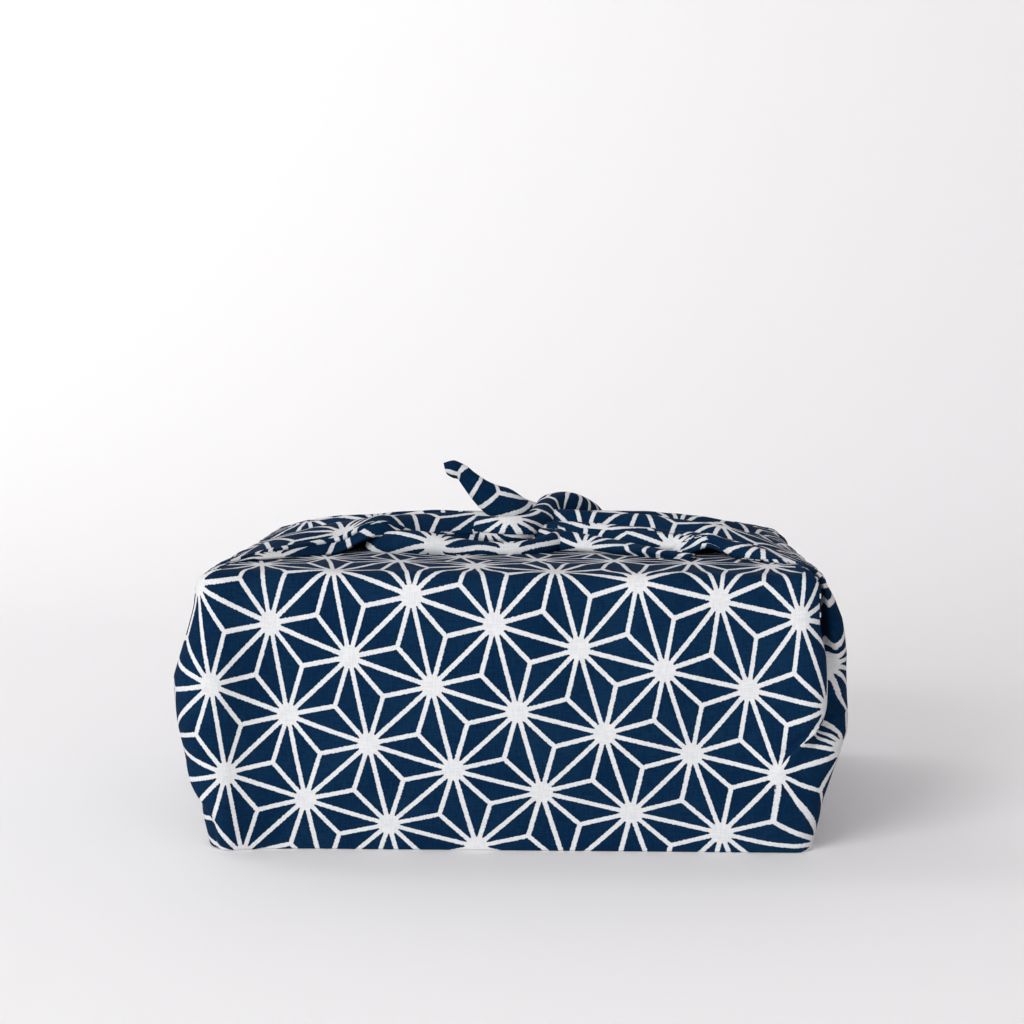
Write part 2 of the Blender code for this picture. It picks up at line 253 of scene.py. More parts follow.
def wall_keys(corner, share, front_end, side_end):
    """The wall's outline beside one corner: (distance along the wall from the corner, outwards)."""
    opened = float(smooth((share - corner["apex"]) / corner["opens"]))
    ear = corner["ear"] * np.interp(share, *corner["ear_rise"])
    flap = corner["flap"] * np.interp(share, *corner["rise"])
    crown = PANEL_CROWN * math.sin(math.pi * min(share, 1.0))
    side_middle = SIDE_MIDDLE * math.sin(math.pi * min(share, 1.0))
    tip = mix(corner["start"], corner["crest"], opened)
    back = 0.0035 * smooth((share - 0.45) / 0.55)
    shut = 1 - opened
    between = mix(ear, flap, 0.5)
    floor = mix(between, corner["valley"], opened)
    hook = opened * min(1.0, ear / 0.003)
    hollow = corner["hollow"] * float(smooth((share - 0.58) / 0.22))
    keys = (
        (front_end, crown),
        (mix(front_end, tip - 0.022, 0.62), crown * 0.5),
        (tip - 0.022, -0.0005 * opened),
        (tip - 0.0095, 0.42 * ear),
        (tip - 0.0030, 0.93 * ear),
        (tip, ear),
        (tip + 0.0007 + 0.0012 * shut, mix(between, ear - 0.0011 * opened, opened)),
        (tip - 0.0012 * hook + 0.0035 * shut, mix(between, 0.50 * ear, opened)),
        (tip + 0.0008 + 0.0052 * shut, mix(between, 0.10 * ear + 0.5 * corner["valley"], opened)),
        (tip + mix(0.0046, 0.0105, hollow) + 0.0040 * shut, floor),
        (tip + mix(0.0078, 0.0150, hollow) + 0.0036 * shut + 0.4 * back,
         mix(between, mix(0.42, 0.10, hollow) * flap, opened)),
        (tip + mix(0.0122, 0.0078, hollow) + 0.0030 * shut + mix(1.0, 0.4, hollow) * back,
         mix(flap, mix(0.88, 0.52, hollow) * flap, opened)),
        (tip + mix(0.0180, 0.0106, hollow) + mix(1.0, 0.4, hollow) * back, flap),
        (tip + mix(0.0360, 0.0300, hollow) + back, mix(0.70 * flap, side_middle, 0.30)),
        (side_end, side_middle),
    )
    return np.array(keys), opened


def along_wall(along, half_x, radius):
    """Points on a rounded rectangle's quarter and their normals, from distances along it."""
    arc = radius * math.pi / 2
    angle = np.clip((along + arc / 2) / radius, 0.0, math.pi / 2)
    out = half_x - radius + radius * np.sin(angle) + np.minimum(along + arc / 2, 0.0)
    inward = radius - radius * np.cos(angle) + np.maximum(along - arc / 2, 0.0)
    return out, inward, np.sin(angle), -np.cos(angle)


# The print turns slightly across the front panel, because the cloth is drawn on the bias there, and
# it drifts a little more where the wrap was pulled tight. The drifts are in millimetres, against
# the place across the panel in tenths of a metre and up it in twentieths.
MILLIMETRE = 0.001
PRINT_TURN = 0.435
PANEL_PRINT_MIDDLE = (0.0, 0.0435)
PRINT_DRIFT = {
    # which way: level, across, up, across squared, across times up, up squared, and one cubic term
    "u": (-0.05, -1.4, 1.5, -0.8, 1.1, 0.0, 3.3, 1.5),
    "v": (0.25, 1.35, -0.55, 0.65, -0.3, 4.05, -0.3, 3.6),
}


def print_drift(way, across, up):
    """How far the print has drifted along the cloth at a place of the front panel, in metres."""
    x, z = np.clip(across, -0.1, 0.1) / 0.1, np.clip(up, -0.045, 0.045) / 0.05
    terms = (1.0, x, z, x * x, x * z, z * z, x ** 3, x * x * z)
    return MILLIMETRE * sum(size * term for size, term in zip(PRINT_DRIFT[way], terms))


def front_print(across, height):
    """Where a point of the front panel lies on the flat cloth, in metres from its middle."""
    fade = 1 - smooth((height - HEIGHT - 0.010) / 0.080)
    x = across - PANEL_PRINT_MIDDLE[0]
    z = height - PANEL_PRINT_MIDDLE[1]
    moved_x = PRINT_TURN * 2 * x * z * fade + print_drift("u", x, z)
    moved_z = -PRINT_TURN * (x * x - z * z) * fade - print_drift("v", x, z)
    return across + moved_x, -(DEPTH / 2 + height + moved_z)


# The hemp-leaf lattice: its stars' spacing, its turn on the cloth and the place of one star.
STAR_PITCH = 0.0272
LATTICE_TURN = math.radians(16.5)
LATTICE_STAR = (0.0017, -(DEPTH / 2 + 0.0438))


def star_place(first, second):
    """Where one star of the lattice lies on the flat cloth."""
    along, up = first + second / 2, second * math.sqrt(3) / 2
    cosine, sine = math.cos(LATTICE_TURN), math.sin(LATTICE_TURN)
    return (LATTICE_STAR[0] + STAR_PITCH * (along * cosine - up * sine),
            LATTICE_STAR[1] + STAR_PITCH * (along * sine + up * cosine))


# The pattern looks the same after a sixth of a turn about a star. The right flap's print is given
# a sixth less turn beside the front pleat, so that it meets the front panel's with little stretch.
PLEAT_STARS = {"flap": star_place(6, 0), "panel": star_place(5, -1)}
SIXTH = math.pi / 3


def turned_print(places, old, new, angle):
    """Places of the print turned about the star at old, which moves to the star at new."""
    away_u, away_v = (places - PLEAT_STARS[old]).T
    cosine, sine = math.cos(angle), math.sin(angle)
    moved = np.stack([away_u * cosine - away_v * sine, away_u * sine + away_v * cosine], 1)
    return moved + PLEAT_STARS[new]


SIDE_PRINT = {
    # How far the print of each side flap has shifted by what its pleats take up: at these heights,
    # along the flap and across it.
    -1: ((0.0, 0.087), (0.0, -0.0040), (0.0, 0.0056)),
    1: ((0.0, 0.056, 0.087), (0.0, 0.0069, 0.0107), (0.0, -0.0099, -0.0163)),
}


def side_fold_wrinkles(across, height):
    """The gathers of a fan run a little way down its side wall, as soft upright folds."""
    depth = 0.0011 * smooth((height - 0.030) / (HEIGHT - 0.030))
    return depth * (np.sin(across * 230 + 0.7) + 0.6 * np.sin(across * 415 + 2.1 + height * 30))


def corner_print(corner, height, along, length, opened, past):
    """The print beside a corner. past tells which columns lie past the lip of the fold."""
    side, end = corner["side"], corner["end"]
    # The cloth lost in the valley is left out of the print's distance on the flap.
    flat = np.where(past, length[TIP] + np.maximum(along - along[TIP], 0.0), length)
    apex = (WIDTH / 2 + corner["start"], corner["apex"] * HEIGHT)
    away_x, away_z = flat - apex[0], height - apex[1]
    swing = np.degrees(np.arctan2(away_x, -away_z))
    above = smooth((height - apex[1]) / 0.003)
    distance = np.hypot(away_x, away_z)
    beyond = mix(1.0, past, above)
    taken = np.interp(height, *corner["taken"]) * smooth((swing - 45) / 55)
    away_x = away_x + taken * smooth(distance / 0.024) * beyond
    turn = np.radians(corner["wedge"]) * smooth((swing + 30) / 140) * beyond
    turned_x = away_x * np.cos(turn) + away_z * np.sin(turn)
    turned_z = away_z * np.cos(turn) - away_x * np.sin(turn)
    if end < 0:
        panel = np.stack(front_print(side * (apex[0] + turned_x), apex[1] + turned_z), 1)
    else:
        panel = np.stack([side * (apex[0] + turned_x), DEPTH / 2 + apex[1] + turned_z], 1)
    heights, shift_along, shift_across = SIDE_PRINT[side]
    shift = np.array([np.interp(height, heights, shift_along), np.interp(height, heights, shift_across)])
    flap = np.stack([np.full_like(along, side * (WIDTH / 2 + height)), end * (length[-1] - length)], 1)
    flap = flap + shift
    if corner is CORNERS["right_front"]:
        flap = turned_print(flap, "flap", "panel", -SIXTH)
        share_of_flap = smooth((along - 0.011) / 0.018) * beyond
    else:
        share_of_flap = mix(smooth((along - 0.002) / 0.034), past, opened)
    return mix(panel, flap, share_of_flap[:, None])


def wall_quarter(corner, height, share, grow=0.0, drop=0.0):
    """One quarter of the wall at a height, from the panel's middle to the side's middle."""
    inset = 1 - float(smooth(share / 0.30))
    half_x = WIDTH / 2 - BASE_INSET * inset
    half_y = DEPTH / 2 - BASE_INSET * 0.4 * inset
    arc = CORNER_RADIUS * math.pi / 4
    front_end = CORNER_RADIUS - half_x - arc
    side_end = half_y - CORNER_RADIUS + arc
    keys, opened = wall_keys(corner, share, front_end, side_end)
    outline = curve_through(keys, SPANS)
    along, push = outline[:, 0], outline[:, 1] + grow
    side, end = corner["side"], corner["end"]
    out, inward, normal_x, normal_y = along_wall(along, half_x, CORNER_RADIUS)
    flap_share = smooth((along - 0.020) / 0.015)
    push = push + flap_share * side_fold_wrinkles(end * (side_end - along), height)
    x = side * (out + normal_x * push)
    y = end * (half_y - inward - normal_y * push)
    points = np.stack([x, y, np.full_like(x, height)], 1)
    length = distance_along(points)
    number = np.arange(len(along))
    prints = [corner_print(corner, height + drop, along, length, opened, past)
              for past in (number >= LIP, number > LIP)]
    return points, *prints


def wall_level(height, share, grow=0.0, drop=0.0):
    """The whole wall at one height, as its front, right, back and left stretches."""
    parts = {name: wall_quarter(corner, height, share, grow, drop) for name, corner in CORNERS.items()}

    def joined(first, second):
        left_front, right_front = parts["left_front"][first], parts["right_front"][second]
        right_back, left_back = parts["right_back"][first], parts["left_back"][second]
        return {
            "front": np.vstack([left_front[TIP:0:-1], right_front[:TIP + 1]]),
            "right": np.vstack([right_front[TIP:], right_back[-2:TIP - 1:-1]]),
            "back": np.vstack([right_back[TIP:0:-1], left_back[:TIP + 1]]),
            "left": np.vstack([left_back[TIP:], left_front[-2:TIP - 1:-1]]),
        }

    # Each column has a print place for the faces after it and one for the faces before it.
    after, before = joined(2, 1), joined(1, 2)
    # The right flap's print is turned in its front half only, which ends at the side's middle.
    after["right"][FRONT_COLUMNS - 1] = parts["right_back"][1][-1]
    prints = {name: np.hstack([after[name], before[name]]) for name in after}
    return {"points": joined(0, 0), "print": prints}


def stack_levels(levels, name, key):
    return np.stack([level[key][name] for level in levels])


def creased(points, depth, size, edge=6, seed=0.0):
    """Soft uneven creases, moved along the surface's normals and fading out at the patch's sides."""
    over = np.gradient(points, axis=1)
    up = np.gradient(points, axis=0)
    normal = np.cross(over, up)
    normal /= np.maximum(np.linalg.norm(normal, axis=2, keepdims=True), 1e-12)
    rows, columns = points.shape[:2]
    fade = np.minimum(np.arange(columns), np.arange(columns)[::-1]) / edge
    fade = smooth(fade)[None, :] * smooth(np.arange(rows) / edge)[:, None]
    fade = fade * smooth(points[:, :, 2] / 0.014)
    wave = np.empty((rows, columns))
    for r in range(rows):
        for c in range(columns):
            x, y, z = points[r, c] / size
            broad = noise.noise(Vector((x, y, z * 0.7 + seed)))
            fine = noise.noise(Vector((x * 2.7 + y, y * 2.1 - x, z * 2.4 + seed + 5.0)))
            wave[r, c] = broad + 0.35 * fine
    return points + normal * (wave * fade * depth)[:, :, None]


wall_levels = []
foot = wall_level(0.0, 0.0, -BASE_EDGE)
for share in (0.0, 0.3, 0.6, 0.85):
    level = {key: {name: rows * share for name, rows in foot[key].items()} for key in foot}
    for rows in level["points"].values():
        rows[:, 2] = 0.0
    wall_levels.append(level)
wall_levels.append(foot)
for turn in (30, 60):
    angle = math.radians(turn)
    lift = BASE_EDGE * (1 - math.cos(angle))
    pull = -BASE_EDGE * (1 - math.sin(angle))
    wall_levels.append(wall_level(lift, 0.0, pull))
wall_top = HEIGHT - TOP_EDGE_RADIUS
for step in range(WALL_ROWS + 1):
    height = mix(BASE_EDGE, wall_top, step / WALL_ROWS)
    wall_levels.append(wall_level(height, height / HEIGHT))
edge_levels = []
EDGE_TURNS = (18, 36, 54, 72, 90)
for turn in EDGE_TURNS:
    angle = math.radians(turn)
    height = wall_top + TOP_EDGE_RADIUS * math.sin(angle)
    inward = -TOP_EDGE_RADIUS * (1 - math.cos(angle))
    over = wall_top + TOP_EDGE_RADIUS * angle
    edge_levels.append(wall_level(height, min(height / HEIGHT, 1.0), inward, over - height))

patches = []
for name in ("front", "right", "back", "left"):
    levels = wall_levels + (edge_levels if name in ("front", "back") else [])
    points = stack_levels(levels, name, "points")
    print_place = stack_levels(levels, name, "print")
    points = creased(points, depth=0.0009, size=0.034, seed=len(name) * 3.1)
    patches.append([points, print_place])


# The front panel's end. Past the top edge it lies on the lid as a flap, tapers at 45 degrees with
# the corner of the square, and its tip is turned under near the back edge. The back panel's end
# lies beneath it.

# lift is how far an end lies over the lid. It keeps its width as far as full_to, and is tip_half wide
# to each side at its tip, at tip_at. Both places are from the middle of the depth.
FRONT_END = {"lift": 0.0010, "full_to": 0.006, "tip_at": 0.0740, "tip_half": 0.0250, "rows": 44}
BACK_END = {"lift": -0.0006, "full_to": -0.02, "tip_at": -0.045, "tip_half": 0.060, "rows": 30}
TURNED_ROWS = 5


def over_lid(across, lift):
    """A level stretch across the lid that turns down over its side edges: (x, z) from distances."""
    radius = TOP_EDGE_RADIUS
    flat = WIDTH / 2 - radius
    size = np.abs(across)
    angle = np.clip((size - flat) / radius, 0.0, math.pi / 2)
    x = np.minimum(size, flat) + radius * np.sin(angle)
    z = HEIGHT + lift - radius * (1 - np.cos(angle))
    z = z - np.maximum(size - flat - radius * math.pi / 2, 0.0)
    return np.sign(across) * x, z


def lid_flap(patch, end, lift, full_to, tip_at, tip_half, rows, turned_under):
    """The rows that carry a panel on over the lid. end is -1 for the front panel, 1 for the back."""
    points, print_place = patch
    last = points[-1]
    middle = len(last) // 2
    length = distance_along(points[-len(EDGE_TURNS) - 1])
    across = (length - length[middle]) * (-end)
    reach = np.abs(across).max()
    start = end * (DEPTH / 2 - TOP_EDGE_RADIUS)
    new_points, new_print = [], []
    for step in range(1, rows + 1):
        y = mix(start, tip_at, step / rows)
        gone = abs(y - start)
        taper = np.clip((y - full_to) / (tip_at - full_to), 0.0, 1.0)
        half = mix(reach, tip_half, taper)
        spread = across * min(1.0, half / reach)
        settled = smooth(gone / 0.010)
        x, z = over_lid(spread, mix(0.0, lift, settled))
        row = np.stack([x, np.full_like(x, y), z], 1)
        carried = last + np.array([0.0, -end * gone, 0.0])
        row = mix(carried, row, smooth(gone / 0.012))
        new_points.append(row)
        height = HEIGHT + TOP_EDGE_RADIUS * (math.pi / 2 - 1) + gone
        if end < 0:
            u, v = front_print(spread, np.full_like(spread, height))
        else:
            u, v = spread, np.full_like(spread, DEPTH / 2 + height)
        new_print.append(np.stack([u, v, u, v], 1))
    for step in range(1, TURNED_ROWS + 1 if turned_under else 1):
        angle = math.pi * min(step, 3) / 3
        row = new_points[rows - 1].copy()
        row[:, 0] *= 1 - 0.006 * step
        row[:, 1] = tip_at + 0.0008 * math.sin(angle) - 0.004 * max(0, step - 3)
        row[:, 2] -= 0.0006 * (1 - math.cos(angle))
        new_points.append(row)
        u_v = new_print[rows - 1].copy()
        u_v[:, 1::2] -= 0.0009 * min(step, 3) + 0.004 * max(0, step - 3)
        new_print.append(u_v)
    flap = creased(np.stack(new_points), depth=0.0007, size=0.030, seed=7.0 * end)
    return [np.concatenate([points, flap]), np.concatenate([print_place, np.stack(new_print)])]


patches[0] = lid_flap(patches[0], -1, turned_under=True, **FRONT_END)
patches[2] = lid_flap(patches[2], 1, turned_under=False, **BACK_END)


# The fans. Each side flap turns over the lid's side edge and gathers to the knot in a few rounded
# rolls with deep valleys. Its own edges turn under.

FAN_ROWS = 52
FAN = {
    # along is from the wall's top, half is half the width, thick is the rolls' height
    "along": (0.000, 0.008, 0.018, 0.035, 0.053, 0.068, 0.080, 0.092),
    "half": (0.0635, 0.0625, 0.0560, 0.0420, 0.0315, 0.0245, 0.0195, 0.0160),
    "thick": (0.0003, 0.0010, 0.0044, 0.0087, 0.0103, 0.0112, 0.0118, 0.0118),
}
FAN_LIFT = 0.0014
FAN_ROLLS = {
    # From the front: where each roll ends, at the wall and at the knot, and its rise.
    -1: (
        {"wall": -0.08, "knot": 0.02, "rise": 1.00},
        {"wall": 0.22, "knot": 0.28, "rise": 0.62},
        {"wall": 0.58, "knot": 0.62, "rise": 0.92},
        {"wall": 0.80, "knot": 0.84, "rise": 0.56},
        {"wall": 1.00, "knot": 1.00, "rise": 0.66},
    ),
    1: (
        {"wall": -0.64, "knot": -0.50, "rise": 0.70},
        {"wall": 0.00, "knot": 0.06, "rise": 1.00},
        {"wall": 0.34, "knot": 0.40, "rise": 0.70},
        {"wall": 0.72, "knot": 0.74, "rise": 0.90},
        {"wall": 1.00, "knot": 1.00, "rise": 0.60},
    ),
}
FAN_FLOOR = 0.08
FAN_ARCH = {
    # Where a fan's front edge lifts off the lid over a dark pocket: its place, reach and rise.
    -1: {"along": 0.0520, "reach": 0.0150, "rise": 0.0055},
    1: {"along": 0.0354, "reach": 0.0090, "rise": 0.0034},
}
# How many columns at each side of a flap are hidden in the pleat. On the lid they are its hem.
HIDDEN = FLAP_START - TIP


def over_edge(along):
    """The way of the cloth from the wall over the lid's side edge: out, up, and the normal."""
    radius = TOP_EDGE_RADIUS
    angle = np.clip(along / radius, 0.0, math.pi / 2)
    past = max(0.0, along - radius * math.pi / 2)
    out = WIDTH / 2 - radius * (1 - math.cos(angle)) - past
    return out, wall_top + radius * math.sin(angle), math.cos(angle), math.sin(angle)


def fan_row(side, across, along):
    """One cross-section of a fan."""
    half = np.interp(along, FAN["along"], FAN["half"])
    thick = np.interp(along, FAN["along"], FAN["thick"])
    share = along / FAN["along"][-1]
    rolls = FAN_ROLLS[side]
    ends = [-1.0] + [mix(roll["wall"], roll["knot"], smooth(share)) for roll in rolls]
    roots = [-1.0] + [roll["wall"] for roll in rolls]
    wander = 0.03 * math.sin(along * 140 + side)
    ends = [ends[0]] + [end + wander for end in ends[1:-1]] + [ends[-1]]
    relief = np.zeros_like(across)
    place = np.zeros_like(across)
    for number, roll in enumerate(rolls):
        low, high = ends[number], ends[number + 1]
        root_low, root_high = roots[number], roots[number + 1]
        inside = (across >= root_low - 1e-9) & (across <= root_high + 1e-9)
        part = (across[inside] - root_low) / (root_high - root_low)
        place[inside] = mix(low, high, part)
        relief[inside] = roll["rise"] * np.sin(math.pi * np.clip(part, 0, 1)) ** 0.62
    height = thick * (FAN_FLOOR + (1 - FAN_FLOOR) * relief)
    arch = FAN_ARCH[side]
    opened = smooth(1 - abs(along - arch["along"]) / arch["reach"])
    toward_rim = smooth(1 - (across + 1) / (0.5 * (roots[1] + 1)))
    height = height + arch["rise"] * opened * toward_rim
    out, up, normal_out, normal_up = over_edge(along)
    lift = FAN_LIFT * smooth(along / 0.012)
    y = place * half * (1 - 0.02 * relief) - 0.10 * height - 0.0012 * opened * toward_rim
    x = side * (out + normal_out * (height + lift))
    z = up + normal_up * (height + lift)
    return np.stack([x, y, z], 1)


def fan(patch, side):
    """The rows that carry a side flap on over the lid to the knot."""
    points, print_place = patch
    last, last_print = points[-1], print_place[-1, :, 2:].copy()
    count = len(last)
    # The columns whose print is turned beside the front pleat.
    turned = FRONT_COLUMNS if side > 0 else 0
    last_print[:turned] = turned_print(last_print[:turned], "panel", "flap", SIXTH)
    open_part = slice(HIDDEN, count - HIDDEN)
    y = last[open_part, 1]
    middle = (y[0] + y[-1]) / 2
    across = np.clip((y - middle) / (abs(y[-1] - y[0]) / 2), -1.0, 1.0)
    new_points, new_print = [], []
    for step in range(1, FAN_ROWS + 1):
        along = FAN["along"][-1] * step / FAN_ROWS
        row = np.empty_like(last)
        row[open_part] = fan_row(side, across, along)
        tuck = np.interp(along, FAN["along"], FAN["thick"])
        hems = ((HIDDEN, range(HIDDEN - 1, -1, -1)), (count - HIDDEN - 1, range(count - HIDDEN, count)))
        for edge, inner in hems:
            rim = row[edge]
            toward = 1.0 if rim[1] < 0 else -1.0
            for number, column in enumerate(inner, 1):
                turn = math.pi * min(number, 5) / 5
                radius = 0.0005 + 0.10 * tuck
                past = max(0, number - 5) * 0.0012
                curl = -radius * 0.7 * math.sin(turn) + radius * (1 - math.cos(turn)) * 0.3
                shift_y = toward * (curl + past)
                shift_z = -radius * (1 - math.cos(turn)) * 0.5
                row[column] = rim + np.array([0.0, shift_y, shift_z])
        out, up = over_edge(along)[:2]
        carried = last + np.array([side * (out - WIDTH / 2), 0.0, up - wall_top])
        row = mix(carried, row, smooth(along / 0.016))
        new_points.append(row)
        length = distance_along(row[open_part])
        # Each roll has the cloth of its own ridge at its true size, and the rest is lost in the
        # valleys, so there the print starts anew.
        after = last_print.copy()
        after[:, 0] += side * along
        before = after.copy()
        flat = last_print[open_part, 1].copy()
        ends = [-1.0] + [roll["wall"] for roll in FAN_ROLLS[side]]
        for low, high in zip(ends, ends[1:]):
            inside = np.where((across >= low - 1e-9) & (across <= high + 1e-9))[0]
            centre = inside[np.argmin(np.abs(across[inside] - (low + high) / 2))]
            true = flat[centre] + (length[inside] - length[centre]) * np.sign(flat[-1] - flat[0])
            place = mix(flat[inside], true, smooth(along / 0.020))
            after[HIDDEN + inside[:-1], 1] = place[:-1]
            before[HIDDEN + inside[1:], 1] = place[1:]
        before[HIDDEN, 1] = after[HIDDEN, 1]
        after[count - HIDDEN - 1, 1] = before[count - HIDDEN - 1, 1]
        # The turned-under hems go on from their rims at the cloth's true size.
        for edge, inner in hems:
            path = [edge] + list(inner)
            past_rim = distance_along(row[path])[1:] * np.sign(last_print[path[-1], 1] - last_print[edge, 1])
            columns = path[1:]
            carried_on = mix(last_print[columns, 1], after[edge, 1] + past_rim, smooth(along / 0.004))
            after[columns, 1] = carried_on
            before[columns, 1] = carried_on
        before[:turned] = turned_print(before[:turned], "flap", "panel", -SIXTH)
        after[:max(0, turned - 1)] = turned_print(after[:max(0, turned - 1)], "flap", "panel", -SIXTH)
        new_print.append(np.hstack([after, before]))
    gathered = creased(np.stack(new_points), depth=0.0006, size=0.016, edge=9, seed=3.0 * side)
    return [np.concatenate([points, gathered]), np.concatenate([print_place, np.stack(new_print)])]


patches[1] = fan(patches[1], 1)
patches[3] = fan(patches[3], -1)


# The two tails in the square knot. Each is the gathered corner of the square, rolled so that its
# hem shows along one side, and ends in a leaf-shaped tip.

KNOT = Vector((-0.0030, -0.0030, HEIGHT))
LEFT_TAIL = (
    # From the middle of the knot on the lid, in millimetres. wide and deep are half sizes, turn is a
    # roll in degrees, and print is how far the pattern has crept along and across the strand. A row
    # without it has that of the row before.
    {"at": (-46.0, -25.0, 3.2), "wide": 2.6, "deep": 2.4, "turn": 10, "print": (-6.0, -5.7)},
    {"at": (-39.0, -28.0, 4.2), "wide": 4.2, "deep": 3.8, "turn": 5},
    {"at": (-30.0, -29.0, 4.2), "wide": 4.8, "deep": 3.9, "turn": 0},
    {"at": (-20.0, -29.0, 3.2), "wide": 4.8, "deep": 2.9, "turn": -4, "print": (-6.0, -6.4)},
    {"at": (-8.0, -28.6, 2.3), "wide": 4.6, "deep": 2.0, "turn": -8, "print": (-7.6, -12.8)},
    {"at": (4.0, -27.0, 2.3), "wide": 4.4, "deep": 2.0, "turn": -12, "print": (-8.2, -14.3)},
    {"at": (13.0, -21.0, 3.2), "wide": 4.6, "deep": 2.8, "turn": -30, "print": (-7.2, -11.0)},
    {"at": (15.5, -12.0, 3.9), "wide": 4.6, "deep": 3.2, "turn": -55, "print": (-6.2, -7.0)},
    {"at": (13.5, -2.0, 6.4), "wide": 4.8, "deep": 3.8, "turn": -75, "print": (-6.0, -5.7)},
    {"at": (9.5, 2.5, 9.8), "wide": 4.8, "deep": 4.0, "turn": -88},
    {"at": (5.0, -1.5, 11.9), "wide": 4.4, "deep": 3.9, "turn": -90},
    {"at": (1.4, -5.0, 13.2), "wide": 5.2, "deep": 3.6, "turn": -90},
    {"at": (-3.0, -7.0, 15.4), "wide": 5.6, "deep": 3.2, "turn": -90},
    {"at": (-6.6, -8.0, 17.5), "wide": 4.7, "deep": 2.8, "turn": -90},
    {"at": (-10.2, -8.6, 20.3), "wide": 3.6, "deep": 2.4, "turn": -90},
    {"at": (-13.6, -9.0, 23.7), "wide": 2.7, "deep": 2.0, "turn": -90},
    {"at": (-16.2, -9.0, 26.4), "wide": 2.2, "deep": 1.7, "turn": -90},
    {"at": (-18.6, -9.1, 27.4), "wide": 2.4, "deep": 2.1, "turn": -88},
    {"at": (-20.1, -9.2, 28.2), "wide": 2.2, "deep": 1.9, "turn": -86},
    {"at": (-21.2, -9.2, 28.8), "wide": 1.2, "deep": 1.0, "turn": -86},
)
RIGHT_TAIL = (
    {"at": (60.0, -48.0, 1.6), "wide": 2.2, "deep": 1.4, "turn": 10, "print": (-0.5, -11.1)},
    {"at": (51.0, -43.0, 2.0), "wide": 3.0, "deep": 1.8, "turn": 8},
    {"at": (41.0, -35.0, 2.6), "wide": 3.9, "deep": 2.4, "turn": 5},
    {"at": (31.0, -27.5, 3.2), "wide": 4.5, "deep": 3.0, "turn": 0},
    {"at": (21.0, -21.0, 3.8), "wide": 4.9, "deep": 3.5, "turn": -8},
    {"at": (10.0, -13.0, 4.3), "wide": 5.0, "deep": 3.9, "turn": -15, "print": (0.0, -10.0)},
    {"at": (0.0, -3.0, 4.8), "wide": 5.0, "deep": 4.0, "turn": -25, "print": (3.0, -7.0)},
    {"at": (-7.0, 3.5, 6.2), "wide": 5.0, "deep": 4.0, "turn": -50, "print": (6.0, -4.0)},
    {"at": (-9.6, -5.0, 6.8), "wide": 4.6, "deep": 3.4, "turn": -72, "print": (6.2, -1.8)},
    {"at": (-7.0, -14.2, 6.8), "wide": 5.0, "deep": 4.3, "turn": -86, "print": (5.2, -1.8)},
    {"at": (0.6, -16.6, 7.0), "wide": 5.2, "deep": 5.0, "turn": -84},
    {"at": (7.4, -10.0, 8.8), "wide": 4.8, "deep": 4.2, "turn": -65, "print": (6.6, -1.8)},
    {"at": (11.0, 0.5, 11.6), "wide": 5.2, "deep": 4.3, "turn": -40, "print": (9.0, -1.8)},
    {"at": (13.5, 9.0, 13.8), "wide": 6.6, "deep": 4.1, "turn": -20},
    {"at": (19.5, 15.5, 14.0), "wide": 7.7, "deep": 4.0, "turn": -8},
    {"at": (25.5, 21.0, 11.6), "wide": 6.6, "deep": 3.4, "turn": 0},
    {"at": (29.5, 25.5, 8.8), "wide": 4.0, "deep": 2.6, "turn": 0},
    {"at": (31.5, 28.0, 7.4), "wide": 2.2, "deep": 1.8, "turn": 0},
)
STRAND_STEPS = 7
STRAND_AROUND = 42
STRAND_OVERLAP = 0.14


def tail(table, side, print_start, print_middle, hem_at):
    """A rolled strand along a tail's route: an open sheet whose hem overlaps its own start."""
    keys = []
    crept = table[0]["print"]
    for row in table:
        crept = row.get("print", crept)
        keys.append([*row["at"], row["wide"], row["deep"], row["turn"], *crept])
    route = curve_through(np.array(keys), [STRAND_STEPS] * (len(keys) - 1))
    route[:, [0, 1, 2, 3, 4, 6, 7]] *= MILLIMETRE
    centre = route[:, :3] + np.array(KNOT)
    tangent = np.gradient(centre, axis=0)
    tangent /= np.linalg.norm(tangent, axis=1, keepdims=True)
    level = np.cross(np.array([0.0, 0.0, 1.0]), tangent)
    level /= np.linalg.norm(level, axis=1, keepdims=True)
    upright = np.cross(tangent, level)
    angle = np.radians(route[:, 5])[:, None]
    across = level * np.cos(angle) + upright * np.sin(angle)
    through = np.cross(tangent, across)
    along = distance_along(centre)
    turn = np.linspace(0.0, 2 * math.pi * (1 + STRAND_OVERLAP), STRAND_AROUND)
    over = smooth((turn - 2 * math.pi * (1 - STRAND_OVERLAP)) / (2 * math.pi * STRAND_OVERLAP))
    points, print_place = [], []
    for row in range(len(route)):
        around = turn + hem_at + along[row] * 9
        pleat = 1 - 0.13 * np.abs(np.sin(1.5 * around + 2.0 + along[row] * 30)) ** 3
        pleat = pleat + 0.05 * np.sin(4 * around + along[row] * 60)
        rise = 0.0008 * over
        wide = route[row, 3] * pleat + rise
        deep = route[row, 4] * pleat + rise
        ring = centre[row] + across[row] * (wide * np.cos(around))[:, None]
        ring = ring + through[row] * (deep * np.sin(around))[:, None]
        points.append(ring)
        length = distance_along(ring)
        u = side * (print_start + along[row]) + route[row, 6] + np.zeros_like(length)
        v = print_middle + (length - length[-1] / 2) * side + route[row, 7]
        print_place.append(np.stack([u, v], 1))
    points, print_place = np.stack(points), np.stack(print_place)
    tip = centre[-1] + tangent[-1] * 0.0012
    points = np.concatenate([points, np.broadcast_to(tip, (1, STRAND_AROUND, 3))])
    print_place = np.concatenate([print_place, print_place[-1:]])
    if side > 0:
        points, print_place = points[:, ::-1], print_place[:, ::-1]
    return [points[:, ::-1], print_place[:, ::-1]]


